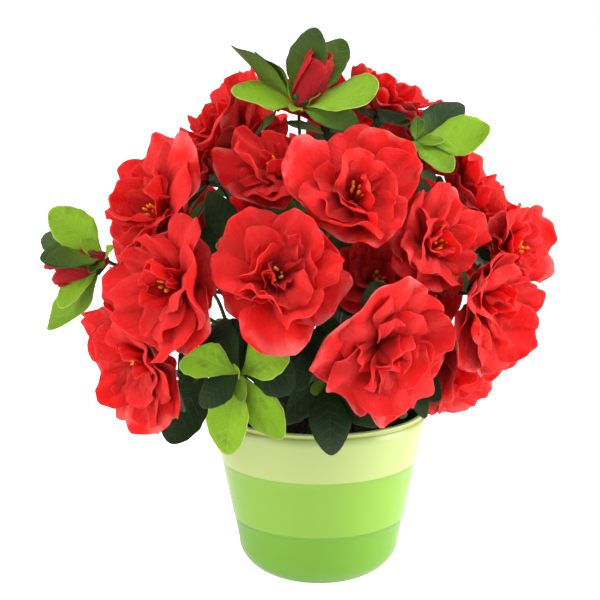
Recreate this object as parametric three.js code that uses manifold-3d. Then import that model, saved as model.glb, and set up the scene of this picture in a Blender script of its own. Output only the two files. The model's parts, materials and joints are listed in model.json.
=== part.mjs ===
// An artificial azalea shrub: silk blooms, buds and leaves on moulded stems, in a banded plastic pot.
// Millimetres, +Z up, and the front is -Y. The origin is the centre of the pot's flat underside.
import * as THREE from "three";
import { mergeVertices } from "three/addons/utils/BufferGeometryUtils.js";
import Module from "manifold-3d";

const wasm = await Module();
wasm.setup();

// ---- Driving sizes ----

const gap = 0.3; // clearance between pieces that meet
const sliver = 0.03; // edges of a fused solid that are shorter than this are closed up
const scrap = 1; // cubic millimetres: a fused solid's bits under this are dropped

const pot = {
  rimRadius: 65,
  height: 104,
  draft: 0.1955, // radius gained for each millimetre of height
  footOut: 28, // the round foot's curve, across and up
  footUp: 22,
  footSteps: 4,
  wall: 2.2,
  floor: 3,
  bandTops: [72.6, 37], // tops of the middle and the lowest colour band
  bandStep: 0.4, // each band stands this far inside the one above
  lipHeight: 3.4,
  lipInset: 1.3,
  segments: 32,
};

const fill = { top: 84, edgeDrop: 2, segments: 16 };

const trunk = {
  top: 150,
  lean: [2, -1.5], // where its top stands, from its foot
  footRadius: 8.5,
  neckRadius: 6,
  neckAt: 0.12, // share of its length where the root flare ends
  topRadius: 3.6,
  sides: 7,
  steps: 6,
};

const bough = {
  footRadius: 1.5,
  tipRadius: 1.2,
  lowest: 95, // height where the lowest bough leaves the trunk
  highest: 147,
  reach: 0.5, // share of the way to its spray where it ends
  sides: 5,
  steps: 3,
};

const stalk = { stemRadius: 1.25, tipRadius: 0.85, sides: 3, steps: 3 };

const crown = { centre: [0, 0, 190], faceFrom: [0, 0, 168] };

// A bloom is nested corollas, from the outside in. lean is measured from the bloom's axis, in degrees, at
// the throat and at the edge. Lengths are for a bloom of bloomSize radius.
const bloomSize = 36;
const bloomColumns = { front: 15, back: 10 };
const throat = { radius: 3, depth: 15 }; // depth from the rim's plane back to the throat
const corollas = [
  { lobes: 5, length: 38, lean: [36, 100], notch: 0.17, ruffle: 2.6, rise: 0, offset: 0.25 },
  { lobes: 5, length: 31, lean: [20, 70], notch: 0.2, ruffle: 2.4, rise: 2.5, offset: 0.75 },
  { lobes: 3, length: 20, lean: [2, 30], notch: 0.24, ruffle: 1, rise: 5, offset: 0.2 },
];
const petalThickness = 1.3;
const calyx = { radius: 4.2, depth: 9 };

const leaf = {
  length: 46,
  width: 23,
  thickness: 1,
  sink: 0.6, // how far its foot stands inside the stalk
  fold: 0.22, // how far its halves rise from the midrib
  droop: 0.16,
  level: 0.4, // how far its upper side turns up from the way of its rosette
  mostPressed: 18, // a leaf that is pressed further than this is left out
};
const broadLeaf = [[0.36, 0.84], [0.74, 1]]; // share of the length, share of the width
const plainLeaf = [[0.55, 1]];
const bud = { length: 33, radius: 9, sides: 6, rings: 4, sink: 2 };

// Each spray is one mass: its blooms and its rosettes of leaves, on one forking stem.
// az is the bearing from the front, positive to the right. el is the height angle and reach the distance,
// both from the crown's centre. nod tips a face down and turn swings it to the right, in degrees. open is
// how far a bloom has opened, where a full one is 1.
// A rosette's leaves are each [bearing, lift, length], or a count that is dealt round its stalk.
const sprays = [
  {
    name: "spray_left",
    blooms: [
      { az: -48, el: 2, reach: 120, radius: 42, nod: 4, turn: 6 },
      { az: -59, el: -23, reach: 130, radius: 41, nod: 12, turn: 8, open: 0.95 },
    ],
  },
  {
    name: "spray_front",
    blooms: [{ az: -12, el: 5, reach: 112, radius: 41, nod: -6, turn: 6 }],
  },
  { name: "spray_front_right", blooms: [{ az: 21, el: -15, reach: 114, radius: 41, nod: 12, turn: 6 }] },
  {
    name: "spray_upper_front",
    blooms: [
      { az: 14, el: 34, reach: 102, radius: 38, nod: 4, turn: 4 },
      { az: -26, el: 49, reach: 84, radius: 34, nod: 12, turn: 14 },
    ],
  },
  {
    name: "spray_right",
    blooms: [
      { az: 43, el: 15, reach: 102, radius: 36, nod: 2, turn: -6 },
      { az: 72, el: 10, reach: 122, radius: 28, nod: 6, turn: -24 },
      { az: 32, el: 2, reach: 60, radius: 27, nod: 0, turn: 0 },
    ],
  },
  {
    name: "spray_low_right",
    blooms: [
      { az: 62, el: -8, reach: 120, radius: 42, nod: 14, turn: -6, open: 0.85 },
      { az: 72, el: -32, reach: 106, radius: 35, nod: 24, turn: -10, open: 0.7 },
      { az: 52, el: -14, reach: 78, radius: 28, nod: 0, turn: -10 },
    ],
  },
  {
    name: "spray_inner_left",
    rosettes: [
      {
        az: -36, el: 16, reach: 80, radius: 28, turn: 30,
        leaves: [[-50, 58], [-80, 6], [30, 40], [-40, -44]],
      },
    ],
  },
  {
    name: "spray_upper_left",
    blooms: [
      { az: -64, el: 22, reach: 117, radius: 41, nod: 2, turn: 10 },
      { az: -98, el: 37, reach: 98, radius: 33, nod: 10, turn: 10 },
    ],
  },
  {
    name: "spray_top_left",
    blooms: [{ az: -97, el: 57, reach: 102, radius: 38, nod: 14, turn: 12, open: 0.72 }],
  },
  {
    name: "spray_top_right",
    blooms: [{ az: 101, el: 68, reach: 110, radius: 34, nod: 6, turn: 0 }],
    rosettes: [
      {
        az: 66, el: 52, reach: 98, radius: 32, nod: 36, turn: -44,
        leaves: [[84, 18, 48], [104, 34, 38], [40, -24], [100, -20]],
      },
    ],
  },
  {
    name: "spray_upper_right",
    blooms: [{ az: 82, el: 25, reach: 102, radius: 35, nod: 10, turn: 4, open: 0.85 }],
  },
  {
    name: "spray_top_bud",
    rosettes: [
      {
        az: -27, el: 75, reach: 100, radius: 40, nod: 34, turn: 30, bud: [80, 66],
        leaves: [[-72, 10], [-104, 36, 52], [50, 78], [104, 56, 50], [80, 16, 54], [52, -8], [-150, 60]],
      },
    ],
  },
  {
    name: "spray_left_bud",
    rosettes: [
      {
        az: -78, el: 4, reach: 128, radius: 25, nod: -14, turn: 52, bud: [-92, -12],
        leaves: [[-94, 46], [-112, 14], [-40, 6], [-70, -34, 40], [-90, -54, 64], [-60, 40, 40]],
      },
    ],
  },
  {
    name: "spray_low_left",
    rosettes: [
      {
        az: -27, el: -25, reach: 106, radius: 34,
        leaves: [[-62, 26], [40, 22], [-30, -70, 52], [40, -46], [-98, -46, 54], [0, -40], [-58, -14]],
      },
    ],
  },
  {
    name: "spray_low_front",
    rosettes: [
      {
        az: 4, el: -36, reach: 88, radius: 32,
        leaves: [[-40, 18], [26, 34], [2, -34], [-52, -22], [44, -16], [4, 12]],
      },
    ],
  },
  {
    name: "spray_low_side",
    rosettes: [
      { az: 42, el: -38, reach: 86, radius: 30, leaves: [[8, -10], [70, -16], [104, 10], [36, -34]] },
    ],
  },
  {
    name: "spray_back_right",
    blooms: [
      { az: 112, el: 2, reach: 114, radius: 38, nod: 8, turn: 0 },
      { az: 122, el: 40, reach: 102, radius: 36, nod: 4, turn: 0 },
    ],
  },
  {
    name: "spray_back",
    blooms: [
      { az: 152, el: 8, reach: 114, radius: 39, nod: 4, turn: 0 },
      { az: 160, el: 38, reach: 106, radius: 37, nod: 0, turn: 0 },
    ],
  },
  {
    name: "spray_back_left",
    blooms: [
      { az: -168, el: 4, reach: 114, radius: 38, nod: 6, turn: 0 },
      { az: -142, el: 38, reach: 103, radius: 37, nod: 2, turn: 0 },
    ],
  },
  {
    name: "spray_far_left",
    blooms: [
      { az: -130, el: 2, reach: 116, radius: 39, nod: 4, turn: 0 },
      { az: -98, el: -16, reach: 118, radius: 37, nod: 8, turn: 0 },
    ],
  },
  { name: "spray_top_back", blooms: [{ az: 172, el: 66, reach: 102, radius: 36, nod: 4, turn: 0 }] },
  { name: "spray_low_back_right", rosettes: [{ az: 104, el: -34, reach: 96, radius: 32, leaves: 6 }] },
  { name: "spray_low_back", rosettes: [{ az: 150, el: -32, reach: 98, radius: 34, leaves: 7 }] },
  { name: "spray_low_back_left", rosettes: [{ az: -148, el: -32, reach: 98, radius: 34, leaves: 7 }] },
  { name: "spray_low_far_left", rosettes: [{ az: -100, el: -42, reach: 92, radius: 32, leaves: 6 }] },
];

// ---- Small helpers ----

const degrees = Math.PI / 180;
const mix = (a, b, t) => a + (b - a) * t;
const vector = (xyz) => new THREE.Vector3(...xyz);

// A repeatable number from 0 to 1.
function chance(seed, n) {
  const wave = Math.sin(seed * 12.9898 + n * 78.233) * 43758.5453;
  return wave - Math.floor(wave);
}

// The unit vector at a bearing from the front and a height angle, both in degrees.
function heading(az, el) {
  const across = Math.cos(el * degrees);
  return new THREE.Vector3(
    Math.sin(az * degrees) * across,
    -Math.cos(az * degrees) * across,
    Math.sin(el * degrees),
  );
}

// Two unit vectors square to a third, which stay level where they can.
function sideways(axis) {
  const level = Math.abs(axis.z) > 0.98 ? new THREE.Vector3(0, 1, 0) : new THREE.Vector3(0, 0, 1);
  const right = level.clone().cross(axis).normalize();
  return [right, axis.clone().cross(right).normalize()];
}

// A closed manifold-3d solid from a three.js geometry.
function solid(geometry) {
  const bare = geometry.clone();
  bare.deleteAttribute("normal");
  bare.deleteAttribute("uv");
  const merged = mergeVertices(bare, 1e-3);
  return new wasm.Manifold(
    new wasm.Mesh({
      numProp: 3,
      vertProperties: merged.attributes.position.array,
      triVerts: new Uint32Array(merged.index.array),
    }),
  );
}

// Moves each vertex of a geometry to where place(x, y, z) says.
function shaped(geometry, place) {
  const positions = geometry.attributes.position;
  for (let i = 0; i < positions.count; i++) {
    const p = place(positions.getX(i), positions.getY(i), positions.getZ(i));
    positions.setXYZ(i, p.x, p.y, p.z);
  }
  return geometry;
}

// The pieces fused into one solid, without the slivers and scraps that a boolean leaves.
function fused(pieces) {
  const bodies = wasm.Manifold.union(pieces.map(solid)).simplify(sliver).decompose();
  const [whole, ...loose] = bodies.sort((a, b) => b.volume() - a.volume());
  if (loose.some((body) => body.volume() > scrap)) throw new Error("a spray has a loose piece");
  const mesh = whole.getMesh();
  const geometry = new THREE.BufferGeometry();
  geometry.setAttribute("position", new THREE.BufferAttribute(new Float32Array(mesh.vertProperties), 3));
  geometry.setIndex(new THREE.BufferAttribute(new Uint32Array(mesh.triVerts), 1));
  return geometry;
}

// A round limb along a curve. radius(t) is its radius from foot, 0, to tip, 1.
function limb(curve, radius, sides, steps) {
  const frames = curve.computeFrenetFrames(steps, false);
  return shaped(new THREE.CylinderGeometry(1, 1, 1, sides, steps), (x, y, z) => {
    const t = y + 0.5;
    const i = Math.round(t * steps);
    return curve
      .getPointAt(t)
      .addScaledVector(frames.normals[i], x * radius(t))
      .addScaledVector(frames.binormals[i], -z * radius(t));
  });
}

// ---- Pot and fill ----

const potRadius = (z) => pot.rimRadius - pot.draft * (pot.height - z);
const lathe = (profile, segments) =>
  new THREE.LatheGeometry(profile.map(([r, z]) => new THREE.Vector2(r, z)), segments).rotateX(Math.PI / 2);

function footCurve(inset, steps) {
  const middle = potRadius(pot.footUp) - pot.footOut;
  return Array.from({ length: steps + 1 }, (_, i) => {
    const turn = (i / steps) * (Math.PI / 2);
    return [
      middle + (pot.footOut - inset) * Math.sin(turn),
      pot.footUp - (pot.footUp - inset) * Math.cos(turn),
    ];
  });
}

function potGeometry() {
  const [upper, lower] = pot.bandTops;
  const step = pot.bandStep;
  const shoulder = pot.height - pot.lipHeight;
  const outside = [
    [0, 0],
    ...footCurve(0, pot.footSteps),
    [potRadius(lower), lower],
    [potRadius(lower) + step, lower + step],
    [potRadius(upper) + step, upper],
    [potRadius(upper) + 2 * step, upper + step],
    [potRadius(shoulder) + 2 * step, shoulder],
    [pot.rimRadius, pot.height - pot.lipInset],
    [pot.rimRadius - pot.lipInset, pot.height],
  ];
  const inside = [
    [0, pot.floor],
    ...footCurve(pot.floor, pot.footSteps - 1),
    [pot.rimRadius - pot.wall - 0.6, pot.height - pot.lipInset],
    [pot.rimRadius - pot.wall, pot.height],
  ];
  return lathe([...outside, ...inside.reverse()], pot.segments);
}

function fillGeometry() {
  const inset = pot.floor + gap;
  const wallAt = (z) => mix(
    potRadius(pot.footUp) - pot.floor,
    pot.rimRadius - pot.wall - 0.6,
    (z - pot.footUp) / (pot.height - pot.lipInset - pot.footUp),
  );
  const edge = fill.top - fill.edgeDrop;
  const profile = [
    [0, inset],
    ...footCurve(inset, pot.footSteps - 1).map(([r, z]) => [r - gap, z]),
    [wallAt(edge) - 2 * gap, edge],
    [trunk.footRadius * 2, fill.top],
    [0, fill.top],
  ];
  return lathe(profile, fill.segments);
}

// ---- Where everything stands ----

const crownCentre = vector(crown.centre);
const faceFrom = vector(crown.faceFrom);

// A bloom or a rosette: its place, the way that it faces and a seed of its own.
function siteOf(entry, seed, kind) {
  const place = crownCentre.clone().addScaledVector(heading(entry.az, entry.el), entry.reach);
  const facing = place.clone().sub(faceFrom).normalize();
  const [right] = sideways(facing);
  facing.applyAxisAngle(right, (entry.nod ?? 0) * degrees);
  facing.applyAxisAngle(new THREE.Vector3(0, 0, 1), (entry.turn ?? 0) * degrees);
  return { ...entry, kind, seed, place, facing };
}

let seeds = 0;
for (const spray of sprays) {
  spray.sites = [
    ...(spray.blooms ?? []).map((entry) => siteOf(entry, ++seeds, "bloom")),
    ...(spray.rosettes ?? []).map((entry) => siteOf(entry, ++seeds, "rosette")),
  ];
  // A stalk ends at the foot of its bloom's calyx, or at its rosette.
  for (const site of spray.sites) {
    const back = site.kind === "bloom" ? (throat.depth + calyx.depth - 1) * (site.radius / bloomSize) : 0;
    site.foot = site.place.clone().addScaledVector(site.facing, -back);
  }
}

// The planes that keep a site's petals and leaves out of every other's space, as a point and the way out.
function wallsRound(site) {
  return allSites
    .filter((other) => other !== site)
    .map((other) => {
      const way = other.place.clone().sub(site.place);
      const share = site.radius / (site.radius + other.radius);
      return { point: site.place.clone().addScaledVector(way, share), out: way.normalize() };
    });
}

// Presses a point back from the walls: it slows as it nears one and never passes it.
function pressed(point, walls, margin) {
  const soft = 9;
  for (let pass = 0; pass < 3; pass++) {
    for (const wall of walls) {
      const room = wall.point.clone().sub(point).dot(wall.out);
      if (room >= soft) continue;
      const kept = margin + (soft - margin) * Math.exp((room - soft) / (soft - margin));
      point.addScaledVector(wall.out, room - kept);
    }
  }
  return point;
}

const allSites = sprays.flatMap((spray) => spray.sites);
for (const site of allSites) {
  site.walls = wallsRound(site);
  pressed(site.foot, site.walls, gap);
}
for (const spray of sprays) {
  spray.heart = spray.sites
    .reduce((sum, site) => sum.add(site.foot), new THREE.Vector3())
    .divideScalar(spray.sites.length);
}

// ---- Trunk and boughs ----

const trunkCurve = new THREE.CubicBezierCurve3(
  new THREE.Vector3(0, 0, fill.top + gap),
  new THREE.Vector3(0, 0, mix(fill.top, trunk.top, 0.4)),
  new THREE.Vector3(trunk.lean[0], trunk.lean[1], mix(fill.top, trunk.top, 0.7)),
  new THREE.Vector3(trunk.lean[0], trunk.lean[1], trunk.top),
);

function trunkRadius(t) {
  if (t < trunk.neckAt) return mix(trunk.footRadius, trunk.neckRadius, Math.sqrt(t / trunk.neckAt));
  return mix(trunk.neckRadius, trunk.topRadius, (t - trunk.neckAt) / (1 - trunk.neckAt));
}

// Boughs leave the trunk one above another, the lowest for the lowest spray, and curve out to their sprays.
const byHeight = [...sprays].sort((a, b) => a.heart.z - b.heart.z);
byHeight.forEach((spray, rank) => {
  const height = mix(bough.lowest, bough.highest, rank / (sprays.length - 1));
  const t = (height - fill.top) / (trunk.top - fill.top);
  const middle = trunkCurve.getPointAt(t);
  const outward = spray.heart.clone().sub(middle).setZ(0).normalize();
  const foot = middle.clone().addScaledVector(outward, trunkRadius(t) + gap);
  const way = spray.heart.clone().sub(foot);
  const tip = foot.clone().addScaledVector(way, bough.reach);
  const run = way.length() * bough.reach;
  spray.boughCurve = new THREE.CubicBezierCurve3(
    foot,
    foot.clone().addScaledVector(outward, run * 0.35),
    tip.clone().addScaledVector(way.clone().normalize(), -run * 0.35),
    tip,
  );
  spray.way = way.normalize();
});

// A spray's bough, made thicker by more.
function boughGeometry(spray, more = 0) {
  const radius = (t) => mix(bough.footRadius, bough.tipRadius, t) + more;
  return limb(spray.boughCurve, radius, bough.sides, bough.steps);
}

// ---- Blooms ----

// A point of a corolla, in the bloom's frame, whose Z is the way the bloom faces. turn runs from 0 to 1
// round the axis, v from the throat, 0, to the edge, 1, and off is the distance from the sheet's middle.
function corollaPoint(corolla, site, turn, v, off) {
  const size = site.radius / bloomSize;
  const lobes = corolla.lobes * turn + corolla.offset;
  const id = 20 * corollas.indexOf(corolla) + (Math.floor(lobes) % corolla.lobes);
  const lobe = Math.sin(Math.PI * (lobes - Math.floor(lobes)));
  const lean0 = corolla.lean[0] * degrees;
  const lean1 = ((site.open ?? 1) * corolla.lean[1] + 22 * lobe * (chance(site.seed, id) - 0.5)) * degrees;
  const length = corolla.length * size * (1 + 0.16 * lobe * (chance(site.seed, id + 7) - 0.5));
  const along = v * (1 - corolla.notch * (1 - lobe));
  const lean = mix(lean0, lean1, along);
  const bend = length / (lean1 - lean0);
  const ripple = Math.sin(6.3 * (lobes * 1.5 + chance(site.seed, id + 13)));
  const lift = corolla.ruffle * size * along * ripple + off;
  const r = throat.radius * size + bend * (Math.cos(lean0) - Math.cos(lean)) - lift * Math.cos(lean);
  const z = corolla.rise * size + bend * (Math.sin(lean) - Math.sin(lean0)) + lift * Math.sin(lean);
  const spin = 2 * Math.PI * (turn + chance(site.seed, 99));
  return new THREE.Vector3(r * Math.cos(spin), r * Math.sin(spin), z);
}

// One closed skin: up the calyx, then out along each corolla's back and home along its face, to the centre.
function bloomGeometry(site) {
  const size = site.radius / bloomSize;
  const [right, up] = sideways(site.facing);
  const base = site.place.clone().addScaledVector(site.facing, -throat.depth * size);
  const half = petalThickness / 2;
  const columns = site.place.y < 0 ? bloomColumns.front : bloomColumns.back;
  const ring = (place) => Array.from({ length: columns }, (_, j) => place((j + 0.5) / columns));
  const cup = ring((turn) => {
    const spin = 2 * Math.PI * (turn + chance(site.seed, 99));
    return new THREE.Vector3(Math.cos(spin), Math.sin(spin), 0).multiplyScalar(calyx.radius * size);
  });
  const skin = [cup];
  for (const corolla of corollas) {
    const last = corolla === corollas[corollas.length - 1];
    const stops = last ? [[1, 0]] : [[0.5, -half], [1, 0], [0.5, half]];
    for (const [v, off] of stops) skin.push(ring((turn) => corollaPoint(corolla, site, turn, v, off)));
  }
  const foot = new THREE.Vector3(0, 0, -calyx.depth * size);
  const centre = new THREE.Vector3(0, 0, 8 * size);
  const points = [foot, ...skin.flat(), centre];
  const placed = points.map((p) =>
    pressed(
      base.clone().addScaledVector(right, p.x).addScaledVector(up, p.y).addScaledVector(site.facing, p.z),
      site.walls,
      gap,
    ),
  );
  // The sheet's two sides are cut along the same diagonals, so that they never cross.
  const faces = [];
  const at = (i, column) => 1 + i * columns + column;
  for (let j = 0; j < columns; j++) {
    const next = (j + 1) % columns;
    faces.push(0, at(0, next), at(0, j));
    for (let i = 0; i < skin.length - 1; i++) {
      const [a, b, c, d] = [at(i, j), at(i, next), at(i + 1, next), at(i + 1, j)];
      faces.push(...(i % 3 === 2 ? [a, b, d, b, c, d] : [a, b, c, a, c, d]));
    }
    faces.push(at(skin.length - 1, j), at(skin.length - 1, next), points.length - 1);
  }
  return new THREE.BufferGeometry().setFromPoints(placed).setIndex(faces);
}

// ---- Leaves and buds ----

// A leaf whose upper side looks the way of its rosette, folded along its midrib and drooping towards its
// tip. stations are the shares of its length where it has corners, with its width there.
function leafGeometry({ foot, way, length, stations }, facing) {
  const right = facing.clone().add(new THREE.Vector3(0, 0, leaf.level)).cross(way).normalize();
  const up = way.clone().cross(right);
  const size = length / leaf.length;
  const point = (share, wide, thick) =>
    foot
      .clone()
      .addScaledVector(way, share * length * (1 - leaf.droop * 0.2 * share))
      .addScaledVector(right, wide)
      .addScaledVector(up, thick + Math.abs(wide) * leaf.fold - leaf.droop * length * share ** 2);
  const points = [point(0, 0, 0)];
  for (const [share, width] of stations) {
    const wide = (width * leaf.width * size) / 2;
    const half = leaf.thickness / 2;
    points.push(point(share, wide, 0), point(share, 0, half));
    points.push(point(share, -wide, 0), point(share, 0, -half));
  }
  points.push(point(1, 0, 0));
  const last = stations.length - 1;
  const at = (i, corner) => 1 + 4 * i + (corner % 4);
  const faces = [];
  for (let corner = 0; corner < 4; corner++) {
    faces.push(0, at(0, corner + 1), at(0, corner));
    faces.push(points.length - 1, at(last, corner), at(last, corner + 1));
    for (let i = 0; i < last; i++) {
      const [a, b, c, d] = [at(i, corner), at(i, corner + 1), at(i + 1, corner + 1), at(i + 1, corner)];
      faces.push(...(corner % 2 ? [a, b, d, b, c, d] : [a, b, c, a, c, d]));
    }
  }
  return new THREE.BufferGeometry().setFromPoints(points).setIndex(faces);
}

function budGeometry(place, way) {
  const [right, up] = sideways(way);
  const foot = place.clone().addScaledVector(way, -bud.sink);
  return shaped(new THREE.SphereGeometry(1, bud.sides, bud.rings), (x, y, z) => {
    const t = (1 - y) / 2;
    const width = bud.radius * (0.75 + 0.25 * t) * (1 - 0.18 * t);
    return foot
      .clone()
      .addScaledVector(way, t * bud.length)
      .addScaledVector(right, x * width)
      .addScaledVector(up, z * width);
  });
}

// ---- Sprays ----

// The first stalk carries on from the bough, and the others fork from its first joint.
function stalkCurves(spray) {
  const start = spray.boughCurve.getPointAt(1).addScaledVector(spray.way, gap);
  const toSite = (from, site) => {
    const reach = from.distanceTo(site.foot) * 0.4;
    return new THREE.CubicBezierCurve3(
      from,
      from.clone().addScaledVector(spray.way, reach),
      site.foot.clone().addScaledVector(site.facing, -reach),
      site.foot.clone().addScaledVector(site.facing, 1),
    );
  };
  const [first, ...others] = spray.sites;
  const main = toSite(start, first);
  return [main, ...others.map((site) => toSite(main.getPointAt(1 / stalk.steps), site))];
}

function stalkGeometries(spray, more = 0) {
  const radius = (t) => mix(stalk.stemRadius, stalk.tipRadius, t) + more;
  return stalkCurves(spray).map((curve) => limb(curve, radius, stalk.sides, stalk.steps));
}

// What a leaf of a spray may not touch: the other sprays' limbs and every bough, each with room round it.
function obstaclesTo(spray) {
  const others = sprays.filter((other) => other !== spray);
  const stalks = others.flatMap((other) => stalkGeometries(other, 2 * gap));
  const boughs = sprays.map((other) => boughGeometry(other, 2 * gap));
  return wasm.Manifold.union([...stalks, ...boughs].map(solid));
}

// A leaf pressed back from its walls, or nothing where it would be crushed or would touch a limb or the
// pot.
function clearLeaf(leafAt, site, obstacles) {
  const made = leafGeometry(leafAt, site.facing);
  let spoilt = false;
  shaped(made, (x, y, z) => {
    const free = new THREE.Vector3(x, y, z);
    const corner = pressed(free.clone(), site.walls, gap);
    spoilt ||= corner.distanceTo(free) > leaf.mostPressed;
    spoilt ||= corner.z < pot.height + 1 && Math.hypot(corner.x, corner.y) < pot.rimRadius + 1.5;
    return corner;
  });
  return spoilt || !obstacles.intersect(solid(made)).isEmpty() ? [] : [made];
}

// Leaves behind a bloom, dealt round its calyx.
function collar(site) {
  const [right, up] = sideways(site.facing);
  const count = 3;
  return Array.from({ length: count }, (_, i) => {
    const turn = 2 * Math.PI * ((i + 0.5 * chance(site.seed, 40 + i)) / count);
    const way = site.facing.clone().multiplyScalar(0.15)
      .addScaledVector(right, Math.cos(turn))
      .addScaledVector(up, Math.sin(turn))
      .normalize();
    const foot = site.foot.clone().addScaledVector(site.facing, 2.4 + 0.8 * i);
    return { foot, way, length: 40, stations: plainLeaf };
  });
}

function rosette(site) {
  const dealt = Array.isArray(site.leaves)
    ? site.leaves
    : Array.from({ length: site.leaves }, (_, i) => [
        site.az + 360 * ((i + 0.4 * chance(site.seed, i)) / site.leaves),
        -30 + 60 * chance(site.seed, 20 + i),
      ]);
  return dealt.map(([az, el, length], i) => ({
    foot: site.place.clone().addScaledVector(heading(az, el), -leaf.sink),
    way: heading(az, el),
    length: length ?? leaf.length * (0.94 + 0.14 * chance(site.seed, 60 + i)),
    stations: broadLeaf,
  }));
}

function sprayGeometry(spray) {
  const obstacles = obstaclesTo(spray);
  const pieces = stalkGeometries(spray);
  for (const site of spray.sites) {
    const leaves = site.kind === "bloom" ? collar(site) : rosette(site);
    pieces.push(...leaves.flatMap((leafAt) => clearLeaf(leafAt, site, obstacles)));
    if (site.kind === "bloom") pieces.push(bloomGeometry(site));
    if (site.bud) pieces.push(budGeometry(site.place, heading(...site.bud)));
  }
  return fused(pieces);
}

// ---- The finished object ----

const material = (color, roughness) => new THREE.MeshStandardMaterial({ color, roughness, metalness: 0 });
const potPlastic = material(0xaade6e, 0.35);
const darkFill = material(0x17130f, 0.95);
const stemPlastic = material(0x1f4a24, 0.6);
const redSilk = material(0xd51c1e, 0.8);
const leafSilk = material(0x4f8f2b, 0.7);

const shrub = new THREE.Group();
function add(name, geometry, finish) {
  const mesh = new THREE.Mesh(geometry, finish);
  mesh.name = name;
  shrub.add(mesh);
}

add("pot", potGeometry(), potPlastic);
add("pot_fill", fillGeometry(), darkFill);
add("trunk", limb(trunkCurve, trunkRadius, trunk.sides, trunk.steps), stemPlastic);
for (const spray of sprays) {
  add(spray.name.replace("spray", "bough"), boughGeometry(spray), stemPlastic);
  add(spray.name, sprayGeometry(spray), spray.blooms ? redSilk : leafSilk);
}

export default shrub;
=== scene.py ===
import json
import math

import bmesh
import bpy
import numpy as np
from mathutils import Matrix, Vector

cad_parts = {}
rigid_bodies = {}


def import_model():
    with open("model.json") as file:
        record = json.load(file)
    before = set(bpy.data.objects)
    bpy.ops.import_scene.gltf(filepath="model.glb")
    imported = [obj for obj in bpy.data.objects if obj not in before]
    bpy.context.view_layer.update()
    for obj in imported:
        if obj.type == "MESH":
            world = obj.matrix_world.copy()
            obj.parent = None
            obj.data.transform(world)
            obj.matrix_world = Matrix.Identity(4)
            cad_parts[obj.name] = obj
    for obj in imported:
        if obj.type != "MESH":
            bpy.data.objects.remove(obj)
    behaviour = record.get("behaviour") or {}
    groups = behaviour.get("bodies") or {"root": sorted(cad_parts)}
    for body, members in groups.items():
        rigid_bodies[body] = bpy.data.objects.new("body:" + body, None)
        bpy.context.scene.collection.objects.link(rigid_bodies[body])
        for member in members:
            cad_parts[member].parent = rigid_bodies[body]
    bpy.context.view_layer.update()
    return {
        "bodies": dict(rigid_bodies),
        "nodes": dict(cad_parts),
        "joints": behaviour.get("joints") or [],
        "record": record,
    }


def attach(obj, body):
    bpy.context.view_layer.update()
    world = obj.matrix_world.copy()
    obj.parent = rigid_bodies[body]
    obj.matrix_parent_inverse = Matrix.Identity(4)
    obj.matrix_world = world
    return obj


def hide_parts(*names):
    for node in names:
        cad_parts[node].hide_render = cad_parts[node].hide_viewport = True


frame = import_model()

# An artificial azalea in its pot. Sizes are millimetres until a mesh is made, and the front is -Y.
millimetre = 0.001
gap = 0.3  # clearance that the growing rule keeps
circle = 2 * math.pi


def chance(seed, n):
    wave = math.sin(seed * 12.9898 + n * 78.233) * 43758.5453
    return wave - math.floor(wave)


def luck(site, n):
    return chance(site["seed"], n)


def deal(site, n, values):
    return mix(*values, luck(site, n))


def mix(a, b, t):
    return a + (b - a) * t


def vec(*xyz):
    return np.array(xyz, float)


def unit(v):
    return v / np.linalg.norm(v)


def smooth(low, high, x):
    t = np.clip((x - low) / (high - low), 0, 1)
    return t * t * (3 - 2 * t)


def heading(az, el):
    a, e = math.radians(az), math.radians(el)
    return vec(math.sin(a) * math.cos(e), -math.cos(a) * math.cos(e), math.sin(e))


def sideways(axis):
    level = vec(0, 1, 0) if abs(axis[2]) > 0.98 else vec(0, 0, 1)
    right = unit(np.cross(level, axis))
    return right, unit(np.cross(axis, right))


def turned(v, axis, degrees):
    a = math.radians(degrees)
    return v * math.cos(a) + np.cross(axis, v) * math.sin(a) + axis * (axis @ v) * (1 - math.cos(a))


def bezier(curve, t):
    t = np.asarray(t, float)[:, None]
    a, b, c, d = curve
    return a * (1 - t) ** 3 + 3 * b * t * (1 - t) ** 2 + 3 * c * t**2 * (1 - t) + d * t**3


def alongCurve(curve, shares):
    fine = np.linspace(0, 1, 201)
    points = bezier(curve, fine)
    run = np.concatenate([[0], np.cumsum(np.linalg.norm(np.diff(points, axis=0), axis=1))])
    return bezier(curve, np.interp(np.asarray(shares, float) * run[-1], run, fine))


crown = {"centre": vec(0, 0, 190), "faceFrom": vec(0, 0, 168), "softness": 9}
bloomSize = 36  # radius of a bloom that is not scaled
throat = {"depth": 15}
calyx = {"radius": 4.2, "depth": 9, "lobes": 5}

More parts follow.
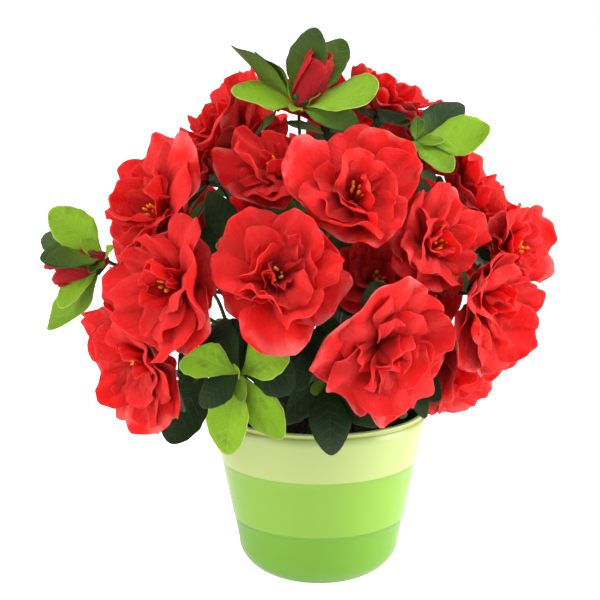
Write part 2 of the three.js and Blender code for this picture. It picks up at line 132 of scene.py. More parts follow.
# A bloom is az, el, reach, radius, nod, turn and how far it is open, where that is not 1. A rosette is the
# first six, its leaves and its bud's az and el. A leaf is bearing, lift, length or 0, tint from 0 for bright to
# 1 for dark, and roll. A number in place of the leaves is a count that is dealt round the stalk.
sprays = {
    "left": [(-46, 2, 120, 45, 4, 6), (-60, -21, 130, 39, 6, 10)],
    "front": [(-12, 8.5, 112, 38.5, -5, 6)],
    "front_right": [(21, -15, 114, 41, 12, 6)],
    "upper_front": [(14, 34, 102, 38, 4, 4), (-26, 51, 86, 36, 12, 14)],
    "right": [(43, 15, 102, 36, 2, -6), (72, 9, 120, 28, 6, -24), (32, 2, 60, 27, 0, 0)],
    "low_right": [
        (57, -5, 119, 43, 14, -8, 0.92), (68, -31, 106, 34, 24, -10, 0.7), (50, -4, 84, 30, 0, -10),
    ],
    "inner_left": [
        ((-36, 16, 80, 28, 0, 30), [
            (-50, 58, 0, 0.85), (-80, 6, 0, 0.9), (30, 40, 0, 0.9), (-40, -44, 0, 0.8),
        ]),
    ],
    "upper_left": [(-64, 21, 116, 41, 2, 10), (-98, 37, 98, 33, 10, 10)],
    "top_left": [(-96, 56, 104, 39, 14, 12, 0.78)],
    "top_right": [
        (101, 67, 109, 32, 6, 0),
        ((66, 52, 98, 32, 36, -44), [
            (84, 10, 52, 0.06), (124, 36, 42, 0.8), (40, -24, 34, 0.25), (100, -20, 40, 0.4),
        ]),
    ],
    "upper_right": [(82, 25, 102, 35, 10, 4, 0.85)],
    "top_bud": [
        ((-27, 75, 100, 40, 34, 30), [
            (-72, 18, 44, 0.1), (-104, 45, 56, 0.5, 70), (50, 78, 0, 0.66), (104, 60, 50, 0.45),
            (62, 17, 68, 0.1), (52, -8, 0, 0.62), (-112, 58, 42, 0.5, 60),
        ], (80, 66)),
    ],
    "left_bud": [
        ((-78, 4, 128, 25, -14, 52), [
            (-94, 46, 0, 0.1), (-112, 14, 0, 0.5), (-44, 10, 40, 0.62), (-70, -34, 40, 0.2),
            (-90, -54, 64, 0.3), (-62, 8, 40, 0.6),
        ], (-92, -18)),
    ],
    "low_left": [
        ((-27, -25, 106, 34, 0, 0), [
            (-62, 26, 0, 0.2), (40, 32, 0, 0.22), (-42, -66, 47, 0.06), (40, -46, 0, 0.2),
            (64, -60, 32, 0.95), (-50, -20, 30, 0.85), (-150, 50, 40, 0.9), (60, 6, 44, 0.95),
            (-94, 60, 44, 0.95), (170, 62, 44, 0.93),
        ]),
    ],
    "low_front": [
        ((4, -36, 88, 32, 0, 0), [
            (-40, 18, 0, 0.95), (26, 34, 0, 0.9), (2, -34, 0, 0.98), (-52, -22, 0, 0.9), (44, -16, 0, 0.95),
            (4, 12, 0, 0.85), (-80, 22, 50, 0.92), (-60, 52, 44, 0.97), (60, 58, 40, 0.9), (10, 78, 42, 0.95),
        ]),
    ],
    "low_side": [
        ((42, -38, 86, 30, 0, 0), [
            (8, -10, 0, 0.9), (70, -16, 36, 0.95), (104, 10, 34, 0.9), (36, -28, 34, 0.95),
        ]),
    ],
    "back_right": [(112, 2, 114, 38, 8, 0), (122, 40, 102, 36, 4, 0)],
    "back": [(152, 8, 114, 39, 4, 0), (160, 38, 106, 37, 0, 0)],
    "back_left": [(-168, 4, 114, 38, 6, 0), (-142, 38, 103, 37, 2, 0)],
    "far_left": [(-130, 2, 116, 39, 4, 0), (-98, -16, 118, 37, 8, 0)],
    "top_back": [(172, 66, 102, 36, 4, 0)],
    "low_back_right": [((104, -34, 96, 32, 0, 0), 6)],
    "low_back": [((150, -32, 98, 34, 0, 0), 7)],
    "low_back_left": [((-148, -32, 98, 34, 0, 0), 7)],
    "low_far_left": [
        ((-100, -42, 92, 32, 0, 0), [
            (-60, -58, 58, 0.9, 55), (-96, -24, 0, 0.7), (-150, 4, 0, 0.4), (150, 10, 0, 0.9),
            (-110, 24, 0, 0.6), (-40, 0, 40, 0.95),
        ]),
    ],
}


def siteOf(spray, entry, seed):
    kind = "rosette" if isinstance(entry[0], tuple) else "bloom"
    numbers, leaves, *bud = entry if kind == "rosette" else (entry, None)
    az, el, reach, radius, nod, turn, *opened = numbers
    place = crown["centre"] + heading(az, el) * reach
    facing = unit(place - crown["faceFrom"])
    facing = turned(turned(facing, sideways(facing)[0], nod), vec(0, 0, 1), turn)
    size = radius / bloomSize
    back = (throat["depth"] + calyx["depth"] - 1) * size if kind == "bloom" else 0
    return {
        "spray": spray, "kind": kind, "az": az, "radius": radius, "size": size, "seed": seed, "place": place,
        "facing": facing, "foot": place - facing * back, "open": opened[0] if opened else 1,
        "leaves": leaves, "bud": bud,
    }


def pressed(points, walls, margin=gap):
    soft = crown["softness"]
    out = np.array(points, float)
    for _ in range(3):
        for anchor, way in walls:
            room = (anchor - out) @ way
            kept = margin + (soft - margin) * np.exp(np.minimum(room - soft, 0) / (soft - margin))
            out += np.where(room < soft, room - kept, 0)[..., None] * way
    return out


def growSites():
    entries = [(name, entry) for name, spray in sprays.items() for entry in spray]
    sites = [siteOf(name, entry, seed) for seed, (name, entry) in enumerate(entries, 1)]
    for site in sites:
        site["walls"] = []
        for other in sites:
            if other is not site:
                way = other["place"] - site["place"]
                share = site["radius"] / (site["radius"] + other["radius"])
                site["walls"].append((site["place"] + way * share, unit(way)))
        site["foot"] = pressed(site["foot"][None], site["walls"])[0]
    return sites


def sitesOf(*names):
    return [site for name in names for site in sites if site["spray"] == name]


sites = growSites()
print("sites:", len(sites))


trunk = {
    "foot": 84, "top": 150, "lean": (2, -1.5), "straight": 0.4, "leant": 0.7, "footRadius": 8.5,
    "neckRadius": 6, "neckAt": 0.12, "topRadius": 3.6, "steps": 25,
}
bough = {
    "footRadius": 1.7, "tipRadius": 1.35, "lowest": 95, "highest": 147, "reach": 0.5, "bend": 0.35,
    "sink": 1.2, "flare": 0.5, "flareRun": 0.06, "steps": 16,
}
stalk = {
    "stemRadius": 1.35, "tipRadius": 0.95, "knuckle": 0.5, "knuckleRun": 0.05, "fork": 1 / 3, "bend": 0.4,
    "steps": 16,
}


def trunkRadius(t):
    if t < trunk["neckAt"]:
        return mix(trunk["footRadius"], trunk["neckRadius"], math.sqrt(max(t, 0) / trunk["neckAt"]))
    return mix(trunk["neckRadius"], trunk["topRadius"], (t - trunk["neckAt"]) / (1 - trunk["neckAt"]))


def swelling(shares, at, run, height):
    return 1 + height * np.exp(-(((shares - at) / run) ** 2))


def stalkCurve(start, way, site):
    reach = np.linalg.norm(start - site["foot"]) * stalk["bend"]
    return [start, start + way * reach, site["foot"] - site["facing"] * reach, site["foot"] + site["facing"]]


def growStems():
    foot, top = trunk["foot"], trunk["top"]
    curve = [
        vec(0, 0, foot + gap), vec(0, 0, mix(foot, top, trunk["straight"])),
        vec(*trunk["lean"], mix(foot, top, trunk["leant"])), vec(*trunk["lean"], top),
    ]
    shares = np.linspace(0, 1, trunk["steps"])
    limbs = [("trunk", alongCurve(curve, shares), np.array([trunkRadius(t) for t in shares]))]
    hearts = [sum(site["foot"] for site in sitesOf(name)) / len(sprays[name]) for name in sprays]
    byHeight = sorted(zip(hearts, sprays), key=lambda pair: pair[0][2])
    for rank, (heart, name) in enumerate(byHeight):
        height = mix(bough["lowest"], bough["highest"], rank / (len(sprays) - 1))
        t = (height - foot) / (top - foot)
        middle = alongCurve(curve, [t])[0]
        outward = unit((heart - middle) * vec(1, 1, 0))
        start = middle + outward * (trunkRadius(t) + gap)
        way = heart - start
        tip = start + way * bough["reach"]
        bend = np.linalg.norm(way) * bough["reach"] * bough["bend"]
        way = unit(way)
        shares = np.linspace(0, 1, bough["steps"])
        points = alongCurve([start, start + outward * bend, tip - way * bend, tip], shares)
        points[0] -= outward * bough["sink"]
        radii = mix(bough["footRadius"], bough["tipRadius"], shares)
        limbs.append(("bough", points, radii * swelling(shares, 0, bough["flareRun"], bough["flare"])))
        first, *others = sitesOf(name)
        stalks = [stalkCurve(tip, way, first)]
        fork = alongCurve(stalks[0], [stalk["fork"]])[0]
        stalks += [stalkCurve(fork, way, site) for site in others]
        for i, line in enumerate(stalks):
            shares = np.linspace(0, 1, stalk["steps"])
            radii = mix(stalk["stemRadius"], stalk["tipRadius"], shares)
            if others:
                knuckleAt = 0 if i else stalk["fork"]
                radii = radii * swelling(shares, knuckleAt, stalk["knuckleRun"], stalk["knuckle"])
            limbs.append(("stalk", alongCurve(line, shares), radii))
    return limbs


limbs = growStems()
print("limbs:", len(limbs))


def addSheet(sheets, grid, coords, tint, thickness):
    rows, columns = grid.shape[:2]
    normal = np.cross(np.gradient(grid, axis=1), np.gradient(grid, axis=0))
    normal /= np.linalg.norm(normal, axis=2, keepdims=True) + 1e-9
    offset = normal * (thickness / 2)
    points = np.concatenate([(grid + offset).reshape(-1, 3), (grid - offset).reshape(-1, 3)])
    index = np.arange(rows * columns).reshape(rows, columns)
    corners = [index[:-1, :-1], index[:-1, 1:], index[1:, 1:], index[1:, :-1]]
    upper = np.stack(corners, -1).reshape(-1, 4)
    under = upper[:, ::-1] + rows * columns
    ring = np.concatenate([index[0, :], index[1:, -1], index[-1, -2::-1], index[-2:0:-1, 0]])
    after = np.roll(ring, -1)
    rim = np.stack([after, ring, ring + rows * columns, after + rows * columns], -1)
    faces = np.concatenate([upper, under, rim])
    smoothed = np.arange(len(faces)) < 2 * len(upper)
    sheets.append((points, faces, np.tile(coords.reshape(-1, 2), (2, 1)), np.full(len(points), tint), smoothed))


# The baked atlas has a cell for each level of tint.
atlas = {"levels": 16, "side": 4, "margin": 0.02}


def plainMesh(name, points, edges=(), faces=()):
    mesh = bpy.data.meshes.new(name)
    mesh.from_pydata((np.asarray(points) * millimetre).tolist(), edges, faces)
    return mesh


def mark(mesh, name, kind, field, values):
    values = np.asarray(values, np.float32).ravel()
    mesh.attributes.new(name, kind, "POINT").data.foreach_set(field, values)


def sheetsMesh(name, sheets):
    points, faces, *rest = zip(*sheets)
    starts = np.cumsum([0] + [len(p) for p in points])
    faces = np.concatenate([face + start for face, start in zip(faces, starts)])
    points, coords, tints, smoothed = (np.concatenate(part) for part in (points, *rest))
    mesh = bpy.data.meshes.new(name)
    mesh.vertices.add(len(points))
    mesh.vertices.foreach_set("co", (points * millimetre).astype(np.float32).ravel())
    mesh.loops.add(faces.size)
    mesh.loops.foreach_set("vertex_index", faces.astype(np.int32).ravel())
    mesh.polygons.add(len(faces))
    mesh.polygons.foreach_set("loop_start", np.arange(0, faces.size, 4, dtype=np.int32))
    mesh.update(calc_edges=True)
    mesh.polygons.foreach_set("use_smooth", smoothed)
    own = coords[faces.ravel()]
    levels, side, margin = atlas.values()
    level = np.clip((tints * levels).astype(int), 0, levels - 1)[faces.ravel()]
    cell = np.stack([level % side, level // side], -1)
    baked = (cell + margin + (1 - 2 * margin) * own) / side
    for label, layout in (("clothCoords", own), ("OFBake", baked)):
        mesh.uv_layers.new(name=label).data.foreach_set("uv", layout.astype(np.float32).ravel())
    mark(mesh, "tint", "FLOAT", "value", (np.floor(tints * levels) + 0.5) / levels)
    mesh.validate()
    return mesh


# A bloom's tiers from the outside in, for a bloom of bloomSize radius. lean is from the bloom's axis,
# at the throat and at the rim, foot is out and up, and folded is the share of petals that close over.
petalTiers = {
    "count": (6, 6, 7, 6), "length": (42, 35, 27, 20), "width": (37, 27, 18, 13),
    "lean": ((42, 94), (34, 82), (26, 72), (18, 60)),
    "foot": ((2.6, -1.0), (2.2, 0.6), (1.8, 2.0), (1.4, 3.2)),
    "ruffle": (3.2, 3.2, 2.6, 2.0), "pleat": (1.8, 1.6, 1.2, 0.9), "roll": (10, 16, 30, 44),
    "curl": (34, 48, 60, 70), "offset": (0.0, 0.5, 0.15, 0.7), "spread": (0.16, 0.3, 0.4, 0.5),
    "folded": (0.0, 0.06, 0.16, 0.3), "tint": (0.0, 0.3, 0.5, 0.6),
}
tiers = [dict(zip(petalTiers, values)) for values in zip(*petalTiers.values())]
# leanSpread and foldedLean are an outer and an inner petal's. A wave is a height and a rate, a run is where it
# starts and ends along the petal, and waist is the foot's share of the width and where the petal is full.
petal = {
    "rows": 13, "columns": 13, "steps": 60, "thickness": 0.22, "overlap": 19, "mostPressed": 6,
    "rooms": (1, 0.92, 0.84, 0.76, 0.68, 0.6), "fullness": 1.12, "lengthSpread": 0.22, "spinSpread": 0.36,
    "footSpread": 10, "leanSpread": (18, 50), "alternate": (-4, 6), "foldedLean": (30, 2),
    "curlFrom": 0.55, "foldRate": (4.5, 7.5), "creaseWidth": 0.13, "twistSpread": 50, "waist": (0.45, 0.6),
    "ruffleRun": (0.3, 0.9), "pleatRun": (0.05, 0.4), "pleatFade": 0.3, "sway": (0.5, 5),
    "creaseRun": (0.05, 0.3), "creaseEnd": (0.45, 0.85),
    "edgeWaves": ((0.04, 3), (0.03, 5), (0.022, 9)), "ruffleWaves": ((0.75, 2.5), (0.5, 5), (0.2, 8)),
    "tintSpread": 0.3,
}
tube = {"rows": 5, "columns": 15, "radius": (1.4, 9), "height": (-1.8, 8), "scallop": 0.8, "tint": 0.6}


def roundGrid(rows, columns):
    b = np.linspace(-1, 1, rows)[:, None]
    a = np.linspace(-1, 1, columns)[None, :]
    x, y = a * np.sqrt(1 - b**2 / 2), b * np.sqrt(1 - a**2 / 2)
    return x, y, np.stack([(x + 1) / 2, (y + 1) / 2], -1)


def shareUp(y, most=1):
    return np.clip((y + 1) / 2, 0, most) ** 0.8  # rows stand closer towards the tip


def waisted(form, share):
    low, run = form["waist"]
    return mix(low, 1, smooth(0, run, share))


def ripple(angle, phases, waves):
    return sum(high * np.sin(rate * angle + phase) for (high, rate), phase in zip(waves, phases))


def petalGrid(site, tierIndex, i, room):
    tier, size = tiers[tierIndex], site["size"]

    def pick(n):
        return luck(site, 300 + 97 * tierIndex + 13 * i + n) - 0.5

    small = tierIndex / (len(tiers) - 1)
    length = tier["length"] * size * petal["fullness"] * (1 + petal["lengthSpread"] * pick(1)) * room
    width = tier["width"] * size * petal["fullness"] * (1 + 2 * tier["spread"] * pick(2)) * room**0.5
    share = (i + tier["offset"] + petal["spinSpread"] * pick(3)) / tier["count"]
    spin = circle * (luck(site, 99) + share)
    lean0 = tier["lean"][0] + petal["footSpread"] * pick(4)
    lean1 = site["open"] * tier["lean"][1] + mix(*petal["leanSpread"], small) * pick(5)
    lean1 += petal["alternate"][i % 2]
    if luck(site, 610 + 11 * tierIndex + i) < tier["folded"]:
        lean1 = mix(*petal["foldedLean"], small)
    curl = tier["curl"] * (2 * pick(6) - 0.15)
    roll = 2 * tier["roll"] * pick(7)
    phase, phase2 = 6.3 * pick(8), 6.3 * pick(9)
    phases = (phase, phase2, -phase)

    # the petal's midline, out from the axis and up along it
    fine = np.linspace(0, 1, petal["steps"])
    lean = np.radians(mix(lean0, lean1, fine) + curl * smooth(petal["curlFrom"], 1.0, fine) ** 1.5)
    reach, height = (
        np.concatenate([[0], np.cumsum((way[1:] + way[:-1]) / 2)]) * (length / (petal["steps"] - 1))
        for way in (np.sin(lean), np.cos(lean))
    )

    x, y, coords = roundGrid(petal["rows"], petal["columns"])
    edge, angle = np.hypot(x, y), np.arctan2(x, y)
    wave = 1 + edge**4 * ripple(angle, phases, petal["edgeWaves"])
    x, y = x * wave, y * wave
    share = shareUp(y, 1.05)
    across = x * width / 2 * waisted(petal, share)
    leanAt = np.interp(share, fine, lean)
    r = tier["foot"][0] * size + np.interp(share, fine, reach)
    z = tier["foot"][1] * size + np.interp(share, fine, height)

    # ruffles at the edge, pleats from the throat and a crease down the middle
    lift = tier["ruffle"] * size * edge**2 * smooth(*petal["ruffleRun"], share)
    lift = lift * ripple(angle, phases, petal["ruffleWaves"])
    folds = np.cos(mix(*petal["foldRate"], pick(10) + 0.5) * x + phase2) * smooth(*petal["pleatRun"], share)
    pleat, (sway, swayRate) = tier["pleat"] * size, petal["sway"]
    lift += pleat * folds * (1 - petal["pleatFade"] * share)
    lift += sway * pleat * np.sin(swayRate * share + phase) * x
    crease = np.exp(-((x / petal["creaseWidth"]) ** 2)) * smooth(*petal["creaseRun"], share)
    lift -= size * crease * (1 - smooth(*petal["creaseEnd"], share))
    twist = np.radians(roll + petal["twistSpread"] * small * pick(11) * share)
    across, lift = across * np.cos(twist) - lift * np.sin(twist), across * np.sin(twist) + lift * np.cos(twist)
    out, up = r - lift * np.cos(leanAt), z + lift * np.sin(leanAt)
    c, s = math.cos(spin), math.sin(spin)
    return np.stack([c * out - s * across, s * out + c * across, up], -1), coords


def placedGrid(origin, frame, grid):
    return origin + sum(grid[..., k : k + 1] * way for k, way in enumerate(frame))


def bloomBase(site, up=0):
    return site["place"] - site["facing"] * (throat["depth"] - up) * site["size"]


def inBloom(site, grid):
    return placedGrid(bloomBase(site), (*sideways(site["facing"]), site["facing"]), grid)


def tubeGrid(site):
    v = np.linspace(0, 1, tube["rows"])[:, None]
    turn = np.linspace(0, circle, tube["columns"])[None, :]
    r = mix(*tube["radius"], v**0.9) * site["size"] + 0 * turn
    z = mix(*tube["height"], v) * site["size"] + tube["scallop"] * v * np.cos(5 * turn)
    coords = np.stack([turn / circle + 0 * v, 0.05 + 0.3 * v + 0 * turn], -1)
    return np.stack([r * np.cos(turn), r * np.sin(turn), z], -1), coords


def addBloom(sheets, site):
    grid, coords = tubeGrid(site)
    placed = pressed(inBloom(site, grid), site["walls"], -petal["overlap"])
    addSheet(sheets, placed, coords, tube["tint"], petal["thickness"])
    for tierIndex, tier in enumerate(tiers):
        for i in range(tier["count"]):
            for room in petal["rooms"]:  # a petal that would be pressed flat grows shorter
                grid, coords = petalGrid(site, tierIndex, i, room)
                free = inBloom(site, grid)
                placed = pressed(free, site["walls"], -petal["overlap"])
                if np.linalg.norm(placed - free, axis=2).max() < petal["mostPressed"]:
                    break
            tint = tier["tint"] + petal["tintSpread"] * luck(site, 700 + 7 * tierIndex + i)
            addSheet(sheets, placed, coords, tint, petal["thickness"])


# overlap is a collar's and a rosette's, tipTaper an amount and its start, edgeWave a height and a rate, and
# midrib a depth and a width.
leaf = {
    "length": 46, "width": 24, "thickness": 0.45, "sink": 0.6, "fold": 0.22, "droop": 0.16, "level": 0.4,
    "mostPressed": 28, "rows": 25, "columns": 9, "ribs": 8, "relief": 0.2, "overlap": (5, 20),
    "widthSpread": 0.2, "foldSpread": 0.24, "bend": 0.14, "wobble": (1.1, 0.7), "slant": 1.7,
    "waist": (0.2, 0.5), "tipTaper": (0.2, 0.65), "edgeWave": (0.02, 38), "unfold": 0.6, "droopSpread": 0.9,
    "midrib": (1.5, 0.12), "shorten": 0.2,
}
collar = {"leaves": 4, "length": 40, "rise": 0.15, "foot": 2.4, "step": 0.8, "tints": (0.5, 0.98)}
young = {"leaves": 3, "turn": 2.1, "rise": 1.3, "length": 15, "lengthSpread": 4, "tints": (0.05, 0.5)}
dealt = {"turnSpread": 0.4, "lowest": -30, "lift": 60, "tints": (0.2, 1), "length": (0.94, 0.14)}
bud = {
    "length": 36, "radius": 8.8, "sink": 2, "petals": 5, "rows": 13, "columns": 11, "tint": 0.97,
    "lengths": (0.84, 0.22), "wrap": 1.1, "twist": 0.5, "flare": 0.35, "flareFrom": 0.7, "creases": (0.5, 0.8),
    "radii": (0.12, 0.85), "overlap": 1.2,
    "calyx": {"up": 7, "radius": 8.096, "depth": 8, "lobes": 7},
}
potRim = {"radius": 65, "height": 104, "clear": (1.5, 1)}


def leafGrid(foot, way, length, site, n, roll):
    right = unit(np.cross(site["facing"] + vec(0, 0, leaf["level"]), way))
    right = turned(right, way, roll)
    up = np.cross(way, right)
    size = length / leaf["length"]

    def pick(k):
        return luck(site, 500 + 17 * n + k) - 0.5

    x, y, coords = roundGrid(leaf["rows"], leaf["columns"])
    share = shareUp(y)
    half = leaf["width"] / 2 * size * (1 + leaf["widthSpread"] * pick(1)) * waisted(leaf, share)
    taper, taperFrom = leaf["tipTaper"]
    wave, waveRate = leaf["edgeWave"]
    half = half * (1 - taper * smooth(taperFrom, 1, share))
    wide = x * half * (1 + wave * np.sin(waveRate * share + 6 * pick(2)))
    side = np.abs(x)
    bend = length * leaf["bend"] * pick(3) * share**2
    fold = (np.sqrt(wide**2 + 4) - 2) * (leaf["fold"] + leaf["foldSpread"] * pick(4))
    lift = fold * (1 - leaf["unfold"] * smooth(0.6, 1, share))
    lift -= leaf["droop"] * length * share**2 * (1 + leaf["droopSpread"] * pick(5))
    lift += leaf["wobble"][0] * np.sin(6 * share + 6 * pick(6)) * x * side
    lift += leaf["wobble"][1] * np.sin(12 * share + 5 * pick(7)) * side**3
    ribs = np.cos(2 * np.pi * (leaf["ribs"] * share - leaf["slant"] * side))
    lift += leaf["relief"] * size * ribs * 3 * side * np.clip(1 - side, 0, 1) * smooth(0.05, 0.3, share)
    depth, width = leaf["midrib"]
    lift -= leaf["relief"] * size * depth * np.exp(-((x / width) ** 2))
    run = share * length * (1 - leaf["droop"] * leaf["shorten"] * share)
    return placedGrid(foot, (way, right, up), np.stack([run, wide + bend, lift], -1)), coords


def addLeaf(sheets, foot, way, length, site, n, tint, roll=0):
    grid, coords = leafGrid(foot, way, length, site, n, roll)
    placed = pressed(grid, site["walls"], -leaf["overlap"][site["kind"] == "rosette"])
    moved = np.linalg.norm(placed - grid, axis=2).max()
    out, up = potRim["clear"]
    low = placed[..., 2] < potRim["height"] + up
    inside = np.hypot(placed[..., 0], placed[..., 1]) < potRim["radius"] + out
    if moved <= leaf["mostPressed"] and not (low & inside).any():
        addSheet(sheets, placed, coords, tint, leaf["thickness"])


def outFrom(facing, turn):
    right, up = sideways(facing)
    return right * math.cos(turn) + up * math.sin(turn)


def addCollar(sheets, site):
    facing = site["facing"]
    for i in range(collar["leaves"]):
        turn = circle * (i + 0.5 * luck(site, 40 + i)) / collar["leaves"]
        way = unit(collar["rise"] * facing + outFrom(facing, turn))
        foot = site["foot"] + facing * (collar["foot"] + collar["step"] * i)
        addLeaf(sheets, foot, way, collar["length"], site, i, deal(site, 50 + i, collar["tints"]))


def dealtLeaf(site, i):
    az = site["az"] + 360 * (i + dealt["turnSpread"] * luck(site, i)) / site["leaves"]
    el = dealt["lowest"] + dealt["lift"] * luck(site, 20 + i)
    return az, el, 0, deal(site, 90 + i, dealt["tints"])


def addRosette(sheets, site):
    leaves = site["leaves"]
    if isinstance(leaves, int):
        leaves = [dealtLeaf(site, i) for i in range(leaves)]
    for i, (az, el, length, tint, *roll) in enumerate(leaves):
        way = heading(az, el)
        length = length or leaf["length"] * (dealt["length"][0] + dealt["length"][1] * luck(site, 60 + i))
        addLeaf(sheets, site["place"] - way * leaf["sink"], way, length, site, i, tint, *roll)
    for i in range(young["leaves"]):
        turn = young["turn"] * i + 6 * luck(site, 80)
        way = unit(site["facing"] * young["rise"] + outFrom(site["facing"], turn))
        length = young["length"] + young["lengthSpread"] * luck(site, 87 + i)
        tint = deal(site, 84 + i, young["tints"])
        addLeaf(sheets, site["place"] - way, way, length, site, 20 + i, tint)


def addBud(sheets, site):
    way = heading(*site["bud"][0])
    right, up = sideways(way)
    v = np.linspace(0, 1, bud["rows"])[:, None]
    u = np.linspace(-1, 1, bud["columns"])[None, :]
    for i in range(bud["petals"]):
        length = bud["length"] * (bud["lengths"][0] + bud["lengths"][1] * luck(site, 30 + i))
        share = v * (1 - 0.12 * np.abs(u) ** 2.5)
        angle = circle * i / bud["petals"] + u * bud["wrap"] * (0.55 + 0.45 * smooth(0, 0.4, v))
        angle = angle + bud["twist"] * share
        profile = np.sin(np.pi * np.clip(0.06 + 0.8 * share, 0, 1)) ** 0.7
        flare = 1 + bud["flare"] * smooth(bud["flareFrom"], 1, share) * luck(site, 35 + i)
        least, more = bud["radii"]
        radius = bud["radius"] * (least + more * profile * flare) + bud["overlap"] * u * smooth(0, 0.3, v)
        low, high = bud["creases"]
        creases = low * np.cos(6 * u + i) + high * smooth(bud["flareFrom"], 1, v) * np.sin(7 * u + i)
        radius += smooth(0.1, 0.5, v) * creases
        grid = np.stack([share * length, radius * np.cos(angle), radius * np.sin(angle)], -1)
        grid = placedGrid(site["place"] - way * bud["sink"], (way, right, up), grid)
        coords = np.stack([0.5 + 0.34 * u + 0 * v, 0.12 + 0.8 * share], -1)
        addSheet(sheets, pressed(grid, site["walls"]), coords, bud["tint"], petal["thickness"])


cup = {"rows": 6, "foot": 1.1, "top": -1.6, "lobes": 0.14, "points": 1.6, "perLobe": 8}


def addCalyx(cups, base, facing, form, size, walls):
    radius, depth, lobes = form["radius"] * size, form["depth"] * size, form["lobes"]
    count = cup["perLobe"] * lobes
    turn = np.linspace(0, circle, count, endpoint=False)
    wave = np.cos(lobes * turn)
    share = np.linspace(0, 1, cup["rows"])[:, None]
    across = mix(cup["foot"], radius, share**0.7) * (1 + cup["lobes"] * share * wave)
    height = mix(-depth, cup["top"], share) + cup["points"] * share**3 * wave
    grid = np.stack([across * np.cos(turn), across * np.sin(turn), height], -1)
    grid = pressed(placedGrid(base, (*sideways(facing), facing), grid), walls)
    points = np.concatenate([grid.reshape(-1, 3), [grid[0].mean(0), grid[-1].mean(0)]])
    last, foot = (cup["rows"] - 1) * count, len(points) - 2
    faces = []
    for j in range(count):
        k = (j + 1) % count
        faces += [(low + j, low + k, low + count + k, low + count + j) for low in range(0, last, count)]
        faces += [(foot, k, j), (foot + 1, last + j, last + k)]
    cups.append((points, faces))


def isSocket(value):
    return isinstance(value, bpy.types.NodeSocket)


def feed(socket, value):
    if isSocket(value):
        socket.id_data.links.new(value, socket)
    elif value is not None:
        socket.default_value = value


def addNode(tree, kind, inputs=None, **settings):
    node = tree.nodes.new(kind)
    for key, value in settings.items():
        setattr(node, key, value)
    for key, value in (inputs or {}).items():
        feed(node.inputs[key], value)
    return node


def output(tree, kind, inputs=None, **settings):
    return addNode(tree, kind, inputs, **settings).outputs[0]


def colour(r, g, b):
    return tuple(((c / 255 + 0.055) / 1.055) ** 2.4 if c > 10 else c / 255 / 12.92 for c in (r, g, b)) + (1,)


def blend(factor, a, b):
    return addNode(factor.id_data, "ShaderNodeMix", {0: factor, 6: a, 7: b}, data_type="RGBA").outputs[2]


def layered(look, shade, *layers):
    for name, factor in layers:
        shade = blend(factor, shade, look[name])
    return shade


def calc(operation, *values):
    tree = next(value.id_data for value in values if isSocket(value))
    return output(tree, "ShaderNodeMath", dict(enumerate(values)), operation=operation)


def times(first, *others):
    for other in others:
        first = calc("MULTIPLY", first, other)
    return first


def ramp(factor, low, high, start=0.0, end=1.0):
    return output(factor.id_data, "ShaderNodeMapRange", {
        "Value": factor, "From Min": low, "From Max": high, "To Min": start, "To Max": end,
    }, interpolation_type="SMOOTHSTEP")


def noise(vector, scale, detail=2.0, **more):
    inputs = {"Vector": vector, "Scale": scale, "Detail": detail, **more}
    return output(vector.id_data, "ShaderNodeTexNoise", inputs)


def parts(vector):
    return addNode(vector.id_data, "ShaderNodeSeparateXYZ", {"Vector": vector}).outputs


def attribute(tree, name):
    return addNode(tree, "ShaderNodeAttribute", attribute_name=name).outputs["Fac"]


def objectPlace(tree):
    return addNode(tree, "ShaderNodeTexCoord").outputs["Object"]


def bump(height, strength, distance):
    inputs = {"Height": height, "Strength": strength, "Distance": distance}
    return output(height.id_data, "ShaderNodeBump", inputs)


def roughness(factor, look):
    return ramp(factor, 0.3, 0.7, *look["rough"])


def newMaterial(name, surface):
    material = bpy.data.materials.new(name)
    material.use_nodes = True
    tree = material.node_tree
    tree.nodes.clear()
    shader = addNode(tree, "ShaderNodeBsdfPrincipled", surface(tree))
    addNode(tree, "ShaderNodeOutputMaterial", {"Surface": shader.outputs[0]})
    return material


def newGroup(name, kind, inputs, outputs):
    group = bpy.data.node_groups.new(name, kind)
    for label, socketKind, *value in inputs:
        socket = group.interface.new_socket(label, in_out="INPUT", socket_type="NodeSocket" + socketKind)
        if value:
            socket.default_value = value[0]
    for label, socketKind in outputs:
        group.interface.new_socket(label, in_out="OUTPUT", socket_type="NodeSocket" + socketKind)
    return group, group.nodes.new("NodeGroupInput").outputs, group.nodes.new("NodeGroupOutput").inputs


def clothWeave():
    group, given, result = newGroup(
        "cloth weave", "ShaderNodeTree",
        [("Vector", "Vector"), ("Threads", "Float", 120), ("Slub", "Float", 0.9)],
        [("Height", "Float"), ("Mottle", "Float")],
    )
    place, turns = given["Vector"], times(given["Threads"], 6.283)
    across, along, _ = parts(place)
    cross = times(calc("SINE", times(across, turns)), calc("SINE", times(along, turns)))
    feed(result["Height"], calc("ADD", cross, times(noise(place, 26), given["Slub"])))
    feed(result["Mottle"], noise(place, 3.2, 3, Roughness=0.55))
    return group


weaveGroup = clothWeave()


def clothInputs(tree, threads):
    across, along, _ = parts(output(tree, "ShaderNodeUVMap", uv_map="clothCoords"))
    tint = attribute(tree, "tint")
    coords = output(tree, "ShaderNodeCombineXYZ", {"X": across, "Y": along, "Z": times(tint, 31)})
    inputs = {"Vector": coords, "Threads": threads}
    weave = addNode(tree, "ShaderNodeGroup", inputs, node_tree=weaveGroup).outputs
    return across, along, tint, coords, weave["Height"], weave["Mottle"]


def fromMiddle(across, along):
    x, y = (calc("MULTIPLY_ADD", way, 2, -1) for way in (across, along))
    return calc("SQRT", calc("ADD", times(x, x), times(y, y)))


